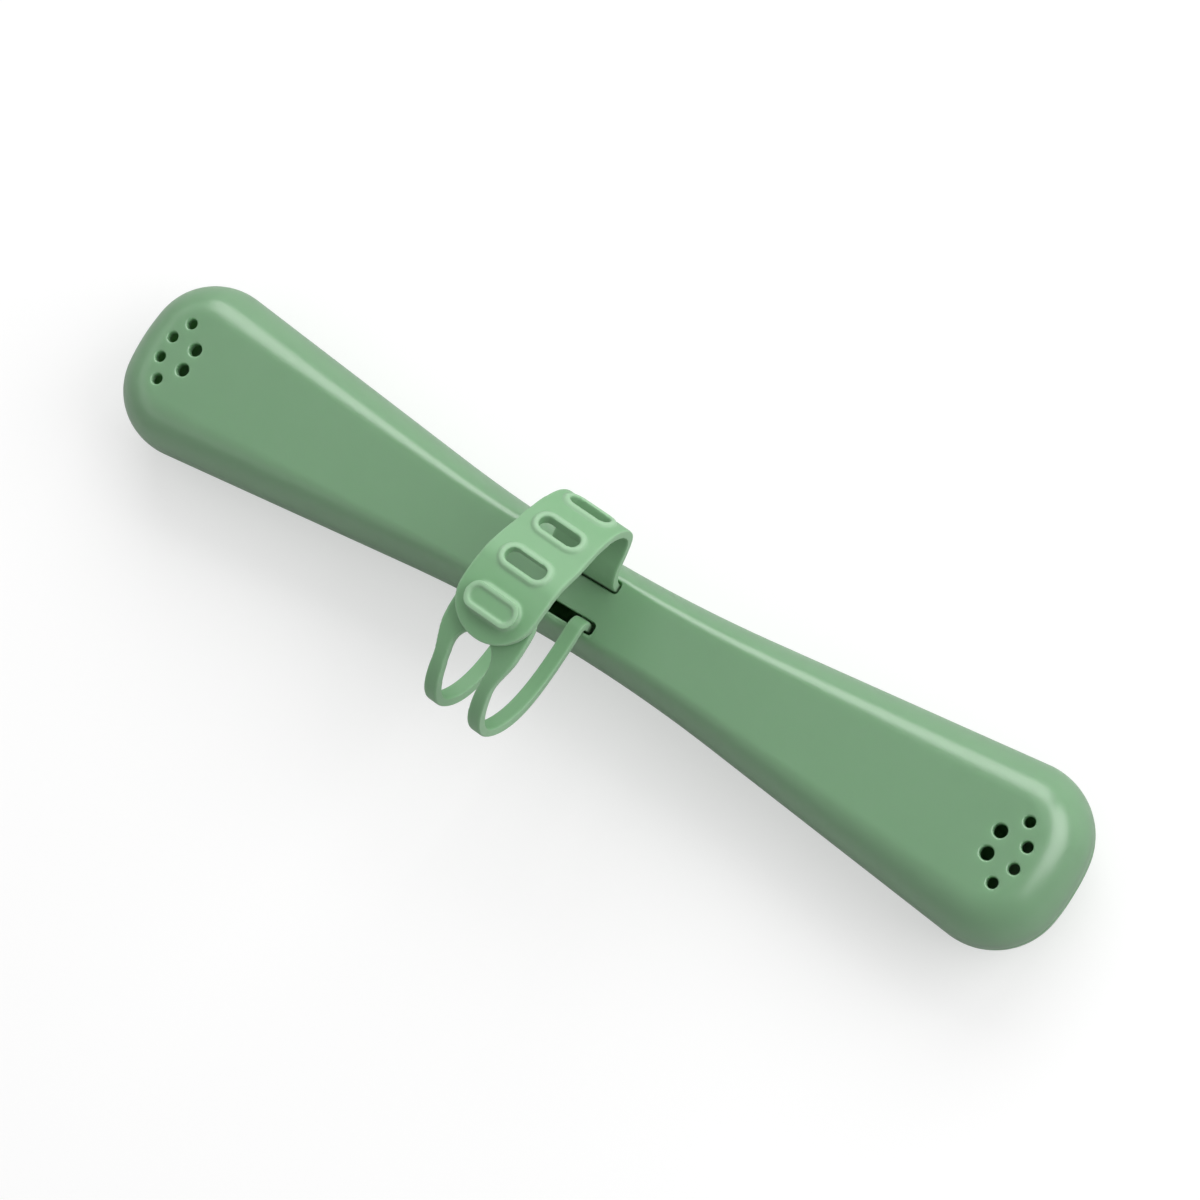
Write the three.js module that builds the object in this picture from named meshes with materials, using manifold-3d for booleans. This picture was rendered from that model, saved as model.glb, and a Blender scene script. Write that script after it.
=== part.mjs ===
// Travel toothbrush case with a buckled strap on its lid.
// Millimetres, +Z up, long axis along X. The origin is the middle of the flat underside.
import * as THREE from 'three';
import { mergeVertices } from 'three/addons/utils/BufferGeometryUtils.js';
import loadManifold from 'manifold-3d';

// Case: an hourglass in plan, flat above and below, with large soft edges
const CASE_LENGTH = 219.2;
const END_WIDTH = 36.4;
const WAIST_WIDTH = 19.4;
const BASE_HEIGHT = 11;
const LID_HEIGHT = 11;
const END_RADIUS = 42;
const CORNER_RADIUS = 14;
const WAIST_RADIUS = 330;
const END_EDGE_RUN = 9;
const WAIST_EDGE_RUN = 3.6;
const WALL = 1.8;

// Gaps between pieces
const CLEARANCE = 0.3;

// Lip of the base that centres the lid
const LIP_THICKNESS = 0.7;
const LIP_HEIGHT = 1.6;
const LIP_ROOT = 2;
const LIP_END_GAP = 1;

// Hinge barrel across the left end
const HINGE_SETBACK = 0.4;
const HINGE_LENGTH = 10;
const KNUCKLE_RADIUS = 1.5;
const LID_KNUCKLE_LENGTH = 3.4;
const PIN_RADIUS = 0.5;
const PIN_RECESS = 0.2;

// Snap catch and thumb hollow at the right end
const CATCH_WIDTH = 9;
const CATCH_THICKNESS = 1.2;
const CATCH_REACH = 3.4;
const CATCH_STANDOFF = 1.6;
const CATCH_BITE = 0.4;
const CATCH_BEAD_HEIGHT = 1;
const LEDGE_TOP_DROP = 0.8;
const LEDGE_HEIGHT = 1;
const THUMB_DEPTH = 0.8;
const THUMB_WIDTH = 18;
const THUMB_HEIGHT = 7;
const THUMB_DROP = 1.8;
const THUMB_BULGE = 3;

// Brush rests moulded across the base
const REST_SPACING = 110;
const REST_THICKNESS = 1.6;
const REST_HEIGHT = 8;
const NOTCH_RADIUS = 6.5;
const NOTCH_FLOOR = 4;

// Air vents, one group in each end of the lid
const VENT_CENTRE_SETBACK = 19.5;
const VENT_OUTER_COUNT = 4;
const VENT_OUTER_RADIUS = 10.2;
const VENT_OUTER_STEP = 26.2;
const VENT_INNER_RADIUS = 4.8;
const VENT_INNER_ANGLE = 29.4;
const SMALL_VENT_DIAMETER = 2.2;
const LARGE_VENT_DIAMETER = 2.7;

// Strap: one silicone moulding that runs under a bridge in the lid and closes in a loop above it
const STRAP_WIDTH = 15;
const STRAP_THICKNESS = 1.8;
const STRAP_CORNER = 0.5;
const STRAP_BEND_RADIUS = 1.8;
const BRIDGE_WIDTH = 6.6;
const BRIDGE_CLEARANCE = 0.9;
const STRAP_SLOT_CLEARANCE = 0.4;
const STRAP_SIDE_CLEARANCE = 0.5;
const LOOP_WIDTH = 43.4;
const LOOP_HEIGHT = 22;
const LOOP_WIDEST_RISE = 9.8;
const LOOP_OFFSET = -9;
const LOOP_TURN = -3.4;
const RISER_ANGLE = -40;
const RISER_PULL = 0.33;
const LEG_HINGE_RUN = 2;

// Strap: twin legs, peg plate and peg
const LEG_WIDTH = 3;
const WINDOW_WIDTH = 7.5;
const WINDOW_TOP_WIDTH = 8.6;
const WINDOW_START = 1;
const WINDOW_TO_PEG = 5.6;
const LEG_FLARE_RUN = 9;
const BUCKLE_WIDTH = 17;
const PEG_BEFORE_TOP = 2.7;
const PLATE_PAST_PEG = 6;
const PEG_HEAD_LENGTH = 11.6;
const PEG_HEAD_WIDTH = 4.9;
const PEG_HEAD_HEIGHT = 1.2;
const PEG_BORDER = 0.9;
const PEG_RECESS = 0.4;

// Strap: slotted band and its rounded tip
const EYELET_LENGTH = 9;
const EYELET_WIDTH = 3;
const EYELET_RIM = 1.1;
const EYELET_RIM_HEIGHT = 0.5;
const EYELET_PITCH = 9;
const EYELET_COUNT = 5;
const TIP_PAST_PEG = 6.4;
const TIP_ROUND = 7.5;
const TIP_HINGE_TO_PEG = 6;
const LIFT_PAST_PLATE = 0.5;
const LIFT_RUN = 9.5;

// Fineness of the facets
const END_STEPS = 3;
const CORNER_STEPS = 8;
const SIDE_STEPS = 5;
const WAIST_STEPS = 4;
const EDGE_STEPS = 6;
const ROUND_SIDES = 20;
const VENT_SIDES = 12;
const SLOT_END_STEPS = 5;
const BEND_STEP = 15;
const RUN_STEP = 4;
const SCAN_STEP = 0.25;
const MERGE_DISTANCE = 1e-4;
const SINK = 0.6;
const SKIM = 0.4;
const OVERCUT = 2;

const wasm = await loadManifold();
wasm.setup();

const CASE_HEIGHT = BASE_HEIGHT + LID_HEIGHT;
const TIP_X = CASE_LENGTH / 2;
const LID_FLOOR = BASE_HEIGHT + CLEARANCE / 2;
const BASE_RIM = BASE_HEIGHT - CLEARANCE / 2;
const degrees = THREE.MathUtils.degToRad;
const polar = (radius, angle) => new THREE.Vector2(radius * Math.cos(angle), radius * Math.sin(angle));
const smooth = (value, start, end) => THREE.MathUtils.smoothstep(value, start, end);

// Closed solids and their joins and cuts

function solid(geometry) {
  const bare = new THREE.BufferGeometry();
  bare.setAttribute('position', geometry.getAttribute('position'));
  bare.setIndex(geometry.index);
  const merged = mergeVertices(bare, MERGE_DISTANCE);
  return new wasm.Manifold(new wasm.Mesh({
    numProp: 3,
    vertProperties: new Float32Array(merged.getAttribute('position').array),
    triVerts: new Uint32Array(merged.index.array),
  }));
}

function shapeOf(body) {
  const mesh = body.getMesh();
  const geometry = new THREE.BufferGeometry();
  geometry.setAttribute('position', new THREE.BufferAttribute(mesh.vertProperties, 3));
  geometry.setIndex(new THREE.BufferAttribute(mesh.triVerts, 1));
  geometry.computeVertexNormals();
  return geometry;
}

function join(bodies) {
  return bodies.reduce((whole, body) => whole.add(body));
}

function cut(whole, bodies) {
  return bodies.reduce((rest, body) => rest.subtract(body), whole);
}

// A skin through rings of equal length, closed at both ends; flatten lays a ring in its own plane
function loft(rings, flatten) {
  const count = rings[0].length;
  const index = [];
  for (let ring = 0; ring + 1 < rings.length; ring += 1) {
    for (let i = 0; i < count; i += 1) {
      const a = ring * count + i;
      const b = ring * count + (i + 1) % count;
      index.push(a, b, b + count, a, b + count, a + count);
    }
  }
  const cap = (ring) => THREE.ShapeUtils.triangulateShape(rings[ring].map(flatten), []);
  const last = (rings.length - 1) * count;
  cap(0).forEach(([a, b, c]) => index.push(a, c, b));
  cap(rings.length - 1).forEach(([a, b, c]) => index.push(last + a, last + b, last + c));
  const geometry = new THREE.BufferGeometry().setFromPoints(rings.flat());
  geometry.setIndex(index);
  return geometry;
}

function box(x0, x1, y0, y1, z0, z1) {
  const geometry = new THREE.BoxGeometry(x1 - x0, y1 - y0, z1 - z0);
  return solid(geometry.translate((x0 + x1) / 2, (y0 + y1) / 2, (z0 + z1) / 2));
}

function rodAlongY(radius, y0, y1) {
  const geometry = new THREE.CylinderGeometry(radius, radius, y1 - y0, ROUND_SIDES);
  return geometry.translate(0, (y0 + y1) / 2, 0);
}

// Plan outline of the case: one quadrant from the end round to the waist, then mirrored

function quadrant() {
  const endCentre = new THREE.Vector2(TIP_X - END_RADIUS, 0);
  const cornerY = END_WIDTH / 2 - CORNER_RADIUS;
  const cornerX = endCentre.x + Math.sqrt((END_RADIUS - CORNER_RADIUS) ** 2 - cornerY ** 2);
  const corner = new THREE.Vector2(cornerX, cornerY);
  const waist = new THREE.Vector2(0, WAIST_WIDTH / 2 + WAIST_RADIUS);
  const across = waist.clone().sub(corner);
  const cornerStart = corner.clone().sub(endCentre).angle();
  const flare = across.angle() - Math.acos((CORNER_RADIUS + WAIST_RADIUS) / across.length());
  const points = [];
  const arc = (centre, radius, from, to, steps) => {
    for (let i = 0; i < steps; i += 1) {
      const angle = THREE.MathUtils.lerp(from, to, i / steps);
      points.push({ at: polar(radius, angle).add(centre), normal: polar(1, angle) });
    }
  };
  arc(endCentre, END_RADIUS, 0, cornerStart, END_STEPS);
  arc(corner, CORNER_RADIUS, cornerStart, flare, CORNER_STEPS);
  const flareStart = polar(CORNER_RADIUS, flare).add(corner);
  const flareEnd = polar(-WAIST_RADIUS, flare).add(waist);
  for (let i = 0; i < SIDE_STEPS; i += 1) {
    points.push({ at: flareStart.clone().lerp(flareEnd, i / SIDE_STEPS), normal: polar(1, flare) });
  }
  arc(waist, -WAIST_RADIUS, flare, Math.PI / 2, WAIST_STEPS);
  points.push({ at: new THREE.Vector2(0, WAIST_WIDTH / 2), normal: new THREE.Vector2(0, 1) });
  points.forEach((point) => {
    const share = Math.min(1, point.at.x / cornerX);
    point.edgeRun = THREE.MathUtils.lerp(WAIST_EDGE_RUN, END_EDGE_RUN, share);
  });
  return points;
}

function wholeOutline() {
  const first = quadrant();
  const mirrored = (points, x, y) => points.map(({ at, normal, edgeRun }) => ({
    at: new THREE.Vector2(at.x * x, at.y * y),
    normal: new THREE.Vector2(normal.x * x, normal.y * y),
    edgeRun,
  }));
  const back = first.slice(0, -1).reverse();
  return [
    ...first,
    ...mirrored(back, -1, 1),
    ...mirrored(first.slice(1), -1, -1),
    ...mirrored(back.slice(0, -1), 1, -1),
  ];
}

const OUTLINE = wholeOutline();

function planRing(z, runOf) {
  return OUTLINE.map((point) => {
    const place = point.at.clone().addScaledVector(point.normal, -runOf(point));
    return new THREE.Vector3(place.x, place.y, z);
  });
}

const seenFromAbove = (point) => new THREE.Vector2(point.x, point.y);

function slab(inset, z0, z1) {
  return solid(loft([planRing(z0, () => inset), planRing(z1, () => inset)], seenFromAbove));
}

// Half a case: open at z = 0, rounded over to a flat at its height, moved in by inset all round
function dome(inset, height, skirt) {
  const rings = skirt > 0 ? [planRing(-skirt, () => inset)] : [];
  for (let step = 0; step <= EDGE_STEPS; step += 1) {
    const angle = (Math.PI / 2) * (step / EDGE_STEPS);
    const run = (point) => inset + (point.edgeRun - inset) * (1 - Math.cos(angle));
    rings.push(planRing(height * Math.sin(angle), run));
  }
  return loft(rings, seenFromAbove);
}

// Hinge barrel

const HINGE_X = HINGE_SETBACK - TIP_X;
const LID_KNUCKLE_END = LID_KNUCKLE_LENGTH / 2;
const BASE_KNUCKLE_START = LID_KNUCKLE_END + CLEARANCE;
const HINGE_END = HINGE_LENGTH / 2;

function barrel(radius, y0, y1) {
  return solid(rodAlongY(radius, y0, y1).translate(HINGE_X, 0, BASE_HEIGHT));
}

// The stretch of the end wall at the hinge, where the lip stops
function hingeStretch(halfLength, z0) {
  return box(-TIP_X, HINGE_X + CORNER_RADIUS, -halfLength, halfLength, z0, CASE_HEIGHT);
}

const pinHole = barrel(PIN_RADIUS + CLEARANCE, -HINGE_END - OVERCUT, HINGE_END + OVERCUT);

// Facing sides of the catch tongue and of its ledge

const CATCH_FACE_X = TIP_X - WALL - CATCH_STANDOFF;
const CATCH_LEDGE_X = CATCH_FACE_X + CLEARANCE;

// Base: tray with the lip, two hinge knuckles, the catch ledge, the brush rests and the thumb hollow

function brushRest(x, baseBlock) {
  const half = REST_THICKNESS / 2;
  const rib = box(x - half, x + half, -END_WIDTH / 2, END_WIDTH / 2, 0, REST_HEIGHT);
  const notchLength = REST_THICKNESS + OVERCUT;
  const notch = new THREE.CylinderGeometry(NOTCH_RADIUS, NOTCH_RADIUS, notchLength, ROUND_SIDES);
  notch.rotateZ(Math.PI / 2).translate(x, 0, NOTCH_FLOOR + NOTCH_RADIUS);
  return rib.subtract(solid(notch)).intersect(baseBlock);
}

function baseShell() {
  const height = BASE_HEIGHT - CLEARANCE / 2;
  const block = solid(dome(0, height, 0).rotateX(Math.PI).translate(0, 0, BASE_RIM));
  const hollow = solid(dome(WALL, height - WALL, OVERCUT).rotateX(Math.PI).translate(0, 0, BASE_RIM));
  const lipInset = WALL - LIP_THICKNESS;
  const lipFoot = BASE_HEIGHT - LIP_ROOT;
  const lipTop = BASE_HEIGHT + LIP_HEIGHT;
  const lip = cut(slab(lipInset, lipFoot, lipTop), [
    slab(WALL, lipFoot - OVERCUT, lipTop + OVERCUT),
    hingeStretch(HINGE_END + LIP_END_GAP, BASE_RIM),
  ]);
  const ledgeHalf = CATCH_WIDTH / 2;
  const ledgeTop = BASE_RIM - LEDGE_TOP_DROP;
  const ledgeFoot = ledgeTop - LEDGE_HEIGHT;
  const ledge = box(CATCH_LEDGE_X, TIP_X - WALL / 2, -ledgeHalf, ledgeHalf, ledgeFoot, ledgeTop);
  const knuckles = [-1, 1].map((side) => {
    const ends = [side * BASE_KNUCKLE_START, side * HINGE_END].sort((a, b) => a - b);
    return barrel(KNUCKLE_RADIUS, ...ends);
  });
  const thumb = new THREE.SphereGeometry(1, ROUND_SIDES, ROUND_SIDES / 2);
  thumb.scale(THUMB_BULGE, THUMB_WIDTH / 2, THUMB_HEIGHT / 2);
  thumb.translate(TIP_X - THUMB_DEPTH + THUMB_BULGE, 0, BASE_RIM - THUMB_DROP);
  const rests = [-REST_SPACING / 2, REST_SPACING / 2].map((x) => brushRest(x, block));
  const tray = join([block.subtract(hollow), lip, ledge, ...rests]);
  const lidKnuckleRoom = barrel(KNUCKLE_RADIUS + CLEARANCE, -BASE_KNUCKLE_START, BASE_KNUCKLE_START);
  const cleared = cut(tray, [lidKnuckleRoom, solid(thumb)]);
  return join([cleared, ...knuckles]).subtract(pinHole);
}

// Lid: cover with the vents, the middle hinge knuckle, the catch tongue and the two strap slots

function ventGroup(end) {
  const drill = (radius, angle, diameter) => {
    const place = polar(radius, degrees(angle));
    const bore = new THREE.CylinderGeometry(diameter / 2, diameter / 2, WALL + 2 * OVERCUT, VENT_SIDES);
    bore.rotateX(Math.PI / 2);
    bore.translate(end * (TIP_X - VENT_CENTRE_SETBACK + place.x), place.y, CASE_HEIGHT - WALL / 2);
    return solid(bore);
  };
  const outer = Array.from({ length: VENT_OUTER_COUNT }, (_, i) => {
    const step = i - (VENT_OUTER_COUNT - 1) / 2;
    return drill(VENT_OUTER_RADIUS, step * VENT_OUTER_STEP, SMALL_VENT_DIAMETER);
  });
  const inner = [-1, 1].map((side) => {
    return drill(VENT_INNER_RADIUS, side * VENT_INNER_ANGLE, LARGE_VENT_DIAMETER);
  });
  return [...outer, ...inner];
}

function catchTongue() {
  const half = CATCH_WIDTH / 2;
  const foot = BASE_HEIGHT - CATCH_REACH;
  const beadTop = BASE_RIM - LEDGE_TOP_DROP - LEDGE_HEIGHT - CLEARANCE;
  const back = CATCH_FACE_X - CATCH_THICKNESS;
  const tongue = box(back, CATCH_FACE_X, -half, half, foot, CASE_HEIGHT);
  const beadFace = CATCH_LEDGE_X + CATCH_BITE;
  const bead = box(CATCH_FACE_X - SINK, beadFace, -half, half, beadTop - CATCH_BEAD_HEIGHT, beadTop);
  const midWall = dome(WALL / 2, LID_HEIGHT - CLEARANCE / 2 - WALL / 2, CATCH_REACH + OVERCUT);
  return tongue.intersect(solid(midWall.translate(0, 0, LID_FLOOR))).add(bead);
}

const SLOT_WIDTH = STRAP_THICKNESS + 2 * STRAP_SLOT_CLEARANCE;

function strapSlot(side) {
  const ends = [side * BRIDGE_WIDTH / 2, side * (BRIDGE_WIDTH / 2 + SLOT_WIDTH)].sort((a, b) => a - b);
  const half = STRAP_WIDTH / 2 + STRAP_SIDE_CLEARANCE;
  return box(-half, half, ...ends, CASE_HEIGHT - WALL - OVERCUT, CASE_HEIGHT + OVERCUT);
}

function lidShell() {
  const height = LID_HEIGHT - CLEARANCE / 2;
  const block = solid(dome(0, height, 0).translate(0, 0, LID_FLOOR));
  const hollow = solid(dome(WALL, height - WALL, OVERCUT).translate(0, 0, LID_FLOOR));
  const rebateInset = WALL - LIP_THICKNESS - CLEARANCE;
  const rebateFoot = LID_FLOOR - OVERCUT;
  const rebate = slab(rebateInset, rebateFoot, BASE_HEIGHT + LIP_HEIGHT + CLEARANCE)
    .subtract(hingeStretch(HINGE_END + LIP_END_GAP - CLEARANCE, rebateFoot - OVERCUT));
  const baseKnuckleRoom = [-1, 1].map((side) => {
    const ends = [side * LID_KNUCKLE_END, side * (HINGE_END + CLEARANCE)].sort((a, b) => a - b);
    return barrel(KNUCKLE_RADIUS + CLEARANCE, ...ends);
  });
  const vents = [-1, 1].flatMap(ventGroup);
  const slots = [-1, 1].map(strapSlot);
  const cover = cut(block, [hollow, rebate, ...baseKnuckleRoom, ...vents, ...slots]);
  const knuckle = barrel(KNUCKLE_RADIUS, -LID_KNUCKLE_END, LID_KNUCKLE_END);
  return join([cover, knuckle, catchTongue()]).subtract(pinHole);
}

// Route of the strap in the plane across the case: X of the route is sideways, Y of the route is up

const SLOT_CENTRE = BRIDGE_WIDTH / 2 + SLOT_WIDTH / 2;
const UNDERPASS_Z = CASE_HEIGHT - WALL - BRIDGE_CLEARANCE - STRAP_THICKNESS / 2;
const UNDERPASS_END = SLOT_CENTRE - STRAP_BEND_RADIUS;
const LOOP_A = (LOOP_WIDTH + STRAP_THICKNESS) / 2;
const LOOP_CROWN_RISE = LOOP_HEIGHT + STRAP_THICKNESS - LOOP_WIDEST_RISE;
const LOOP_FLOOR = CASE_HEIGHT + STRAP_BEND_RADIUS;
const LOOP_Z = LOOP_FLOOR + LOOP_WIDEST_RISE;

function strapRoute() {
  const at = (x, y) => new THREE.Vector2(x, y);
  const line = (from, to) => new THREE.LineCurve(from, to);
  const bend = (x, y, from, to, clockwise) => {
    const radius = STRAP_BEND_RADIUS;
    return new THREE.EllipseCurve(x, y, radius, radius, degrees(from), degrees(to), clockwise);
  };
  const loopArc = (rise, from, to) => {
    return new THREE.EllipseCurve(LOOP_OFFSET, LOOP_Z, LOOP_A, rise, degrees(from), degrees(to), true);
  };
  const bendTop = UNDERPASS_Z + STRAP_BEND_RADIUS;
  const under = [
    line(at(0, UNDERPASS_Z), at(-UNDERPASS_END, UNDERPASS_Z)),
    bend(-UNDERPASS_END, bendTop, -90, 180, true),
    line(at(-SLOT_CENTRE, bendTop), at(-SLOT_CENTRE, CASE_HEIGHT)),
    bend(-SLOT_CENTRE - STRAP_BEND_RADIUS, CASE_HEIGHT, 0, 90, false),
    line(at(-SLOT_CENTRE - STRAP_BEND_RADIUS, LOOP_FLOOR), at(LOOP_OFFSET, LOOP_FLOOR)),
  ];
  const legSide = [loopArc(LOOP_WIDEST_RISE, -90, -180), loopArc(LOOP_CROWN_RISE, 180, 90)];
  const bandSide = loopArc(LOOP_CROWN_RISE, 90, 0);
  const riserArc = loopArc(LOOP_WIDEST_RISE, 0, RISER_ANGLE);
  const riserTop = riserArc.getPoint(1);
  const riserFoot = at(SLOT_CENTRE, CASE_HEIGHT);
  const pull = riserTop.distanceTo(riserFoot) * RISER_PULL;
  const riser = new THREE.CubicBezierCurve(
    riserTop,
    riserTop.clone().addScaledVector(riserArc.getTangent(1), pull),
    riserFoot.clone().add(at(0, pull)),
    riserFoot,
  );
  const home = [
    line(riserFoot, at(SLOT_CENTRE, bendTop)),
    bend(UNDERPASS_END, bendTop, 0, -90, true),
    line(at(UNDERPASS_END, UNDERPASS_Z), at(0, UNDERPASS_Z)),
  ];
  const route = new THREE.CurvePath();
  route.curves = [...under, ...legSide, bandSide, riserArc, riser, ...home];
  const lengthOf = (curves) => curves.reduce((sum, curve) => sum + curve.getLength(), 0);
  return {
    route,
    length: route.getLength(),
    legHinge: lengthOf(under) + LEG_HINGE_RUN,
    peg: lengthOf([...under, ...legSide]) - PEG_BEFORE_TOP,
  };
}

const STRAP = strapRoute();
const TIP_HINGE = STRAP.peg + TIP_HINGE_TO_PEG;
const eyeletPlace = (number) => STRAP.peg + number * EYELET_PITCH;
const BAND_HINGE = (eyeletPlace(EYELET_COUNT - 2) + eyeletPlace(EYELET_COUNT - 1)) / 2;
const TIP_END = STRAP.peg - TIP_PAST_PEG;
const PLATE_END = STRAP.peg + PLATE_PAST_PEG;
const LIFT_START = PLATE_END + LIFT_PAST_PLATE;
const WINDOW_END = STRAP.peg - WINDOW_TO_PEG;
const LEG_OUTSIDE = WINDOW_WIDTH / 2 + LEG_WIDTH;
const BAND_LIFT = STRAP_THICKNESS + CLEARANCE;

function routeShare(s) {
  return THREE.MathUtils.euclideanModulo(s / STRAP.length, 1);
}

// Where a point of the flat strap lies on the case: s along it, v across it, t outwards from its middle
function onRoute(s, v, t) {
  const place = STRAP.route.getPoint(routeShare(s));
  const heading = STRAP.route.getTangent(routeShare(s));
  const point = new THREE.Vector3(-v, place.x - t * heading.y, place.y + t * heading.x);
  const turn = degrees(LOOP_TURN) * smooth(point.z, LOOP_FLOOR, LOOP_Z);
  return point.applyAxisAngle(new THREE.Vector3(0, 0, 1), turn);
}

function wrapped(flat, liftOf) {
  const position = flat.getAttribute('position');
  for (let i = 0; i < position.count; i += 1) {
    const s = position.getX(i);
    const point = onRoute(s, position.getY(i), position.getZ(i) + liftOf(s));
    position.setXYZ(i, point.x, point.y, point.z);
  }
  return solid(flat);
}

const lying = () => 0;
const overPlate = (s) => BAND_LIFT * (1 - smooth(s, LIFT_START, LIFT_START + LIFT_RUN));

// Places along the strap for its sections: one after each set turn or run
function stations(from, to) {
  const found = [from];
  const headingAt = (s) => STRAP.route.getTangent(routeShare(s));
  let mark = headingAt(from);
  for (let s = from + SCAN_STEP; s < to - SCAN_STEP; s += SCAN_STEP) {
    const heading = headingAt(s);
    const turned = Math.acos(THREE.MathUtils.clamp(heading.dot(mark), -1, 1));
    if (turned > degrees(BEND_STEP) || s - found[found.length - 1] > RUN_STEP) {
      found.push(s);
      mark = heading;
    }
  }
  return [...found, to];
}

// Sections that round off an end over the given reach; inwards is the way from the end into the piece
function roundedEnd(end, inwards, reach, half) {
  return Array.from({ length: SLOT_END_STEPS }, (_, i) => {
    const angle = (Math.PI / 2) * ((i + 1) / SLOT_END_STEPS);
    return { s: end + inwards * reach * (1 - Math.cos(angle)), half: half * Math.sin(angle) };
  });
}

// A flat bar of given half height through sections of given half width, with cut corners
function bar(sections, h) {
  const c = STRAP_CORNER;
  const rings = sections.map(({ s, half: w }) => [
    [w, c - h], [w, h - c], [w - c, h], [c - w, h], [-w, h - c], [-w, c - h], [c - w, -h], [w - c, -h],
  ].map(([v, t]) => new THREE.Vector3(s, v, t)));
  return loft(rings, (point) => new THREE.Vector2(point.y, point.z));
}

// A slot outline at s, its round ends apart across the strap, raised from t0 to t1
function stadium(s, length, width, t0, t1) {
  const shape = new THREE.Shape();
  const reach = (length - width) / 2;
  shape.absarc(s, reach, width / 2, 0, Math.PI, false);
  shape.absarc(s, -reach, width / 2, Math.PI, 2 * Math.PI, false);
  const settings = { depth: t1 - t0, bevelEnabled: false, curveSegments: SLOT_END_STEPS };
  const geometry = new THREE.ExtrudeGeometry(shape, settings);
  return geometry.translate(0, 0, t0);
}

const FACE = STRAP_THICKNESS / 2;
const halfGap = CLEARANCE / 2;
const bandWidth = (s) => {
  const share = smooth(s, PLATE_END, BAND_HINGE);
  return { s, half: THREE.MathUtils.lerp(BUCKLE_WIDTH, STRAP_WIDTH, share) / 2 };
};

function withEyelets(body, places, liftOf) {
  const rimLength = EYELET_LENGTH + 2 * EYELET_RIM;
  const rimWidth = EYELET_WIDTH + 2 * EYELET_RIM;
  const rimTop = FACE + EYELET_RIM_HEIGHT;
  const rims = places.map((s) => wrapped(stadium(s, rimLength, rimWidth, FACE - SINK, rimTop), liftOf));
  const reach = FACE + OVERCUT;
  const holes = places.map((s) => wrapped(stadium(s, EYELET_LENGTH, EYELET_WIDTH, -reach, reach), liftOf));
  return cut(join([body, ...rims]), holes);
}

function legWindow() {
  const half = WINDOW_WIDTH / 2;
  const topHalf = WINDOW_TOP_WIDTH / 2;
  const topStart = WINDOW_END - topHalf;
  const lower = roundedEnd(WINDOW_START, 1, half, half);
  const upper = roundedEnd(WINDOW_END, -1, topHalf, topHalf).reverse();
  const sides = stations(WINDOW_START + half + halfGap, topStart - halfGap).map((s) => {
    return { s, half: THREE.MathUtils.lerp(half, topHalf, smooth(s, topStart - LEG_FLARE_RUN, topStart)) };
  });
  return wrapped(bar([...lower, ...sides, ...upper], FACE + SKIM), lying);
}

// Part of the strap that stays with the lid: the riser, the run under the bridge and the legs' roots
function strapAnchor() {
  const start = BAND_HINGE + halfGap - STRAP.length;
  const sections = stations(start, STRAP.legHinge - halfGap).map((s) => {
    const share = smooth(s, -UNDERPASS_END, UNDERPASS_END);
    return { s, half: THREE.MathUtils.lerp(STRAP_WIDTH / 2, LEG_OUTSIDE, share) };
  });
  const body = wrapped(bar(sections, FACE), lying);
  const lastEyelet = eyeletPlace(EYELET_COUNT - 1) - STRAP.length;
  return withEyelets(body, [lastEyelet], lying).subtract(legWindow());
}

// Twin legs that widen into the plate with the peg
function strapLegs() {
  const sections = stations(STRAP.legHinge + halfGap, PLATE_END - TIP_ROUND - halfGap).map((s) => {
    const share = smooth(s, WINDOW_END - LEG_FLARE_RUN, WINDOW_END);
    return { s, half: THREE.MathUtils.lerp(LEG_OUTSIDE, BUCKLE_WIDTH / 2, share) };
  });
  const end = roundedEnd(PLATE_END, -1, TIP_ROUND, BUCKLE_WIDTH / 2).reverse();
  const plate = wrapped(bar([...sections, ...end], FACE), lying);
  const stemTop = FACE + BAND_LIFT + EYELET_RIM_HEIGHT + CLEARANCE;
  const headTop = stemTop + PEG_HEAD_HEIGHT;
  const peg = (length, width, t0, t1) => wrapped(stadium(STRAP.peg, length, width, t0, t1), lying);
  const slack = 2 * CLEARANCE;
  const stem = peg(EYELET_LENGTH - slack, EYELET_WIDTH - slack, FACE - SINK, stemTop + SINK);
  const head = peg(PEG_HEAD_LENGTH, PEG_HEAD_WIDTH, stemTop, headTop);
  const recessLength = PEG_HEAD_LENGTH - 2 * PEG_BORDER;
  const recessWidth = PEG_HEAD_WIDTH - 2 * PEG_BORDER;
  const recess = peg(recessLength, recessWidth, headTop - PEG_RECESS, headTop + OVERCUT);
  return join([plate.subtract(legWindow()), stem, head]).subtract(recess);
}

function strapBand() {
  const sections = stations(TIP_HINGE + halfGap, BAND_HINGE - halfGap).map(bandWidth);
  const places = Array.from({ length: EYELET_COUNT - 2 }, (_, i) => eyeletPlace(i + 1));
  return withEyelets(wrapped(bar(sections, FACE), overPlate), places, overPlate);
}

function strapTip() {
  const end = roundedEnd(TIP_END, 1, TIP_ROUND, BUCKLE_WIDTH / 2);
  const sections = stations(TIP_END + TIP_ROUND + halfGap, TIP_HINGE - halfGap).map(bandWidth);
  return withEyelets(wrapped(bar([...end, ...sections], FACE), overPlate), [eyeletPlace(0)], overPlate);
}

// The finished case

const shellPlastic = new THREE.MeshStandardMaterial({ color: '#7fb086', roughness: 0.5, metalness: 0 });
const silicone = new THREE.MeshStandardMaterial({ color: '#8fc096', roughness: 0.6, metalness: 0 });
const steel = new THREE.MeshStandardMaterial({ color: '#b9bcc0', roughness: 0.3, metalness: 1 });

function piece(name, geometry, material) {
  const mesh = new THREE.Mesh(geometry, material.clone());
  mesh.name = name;
  return mesh;
}

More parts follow.
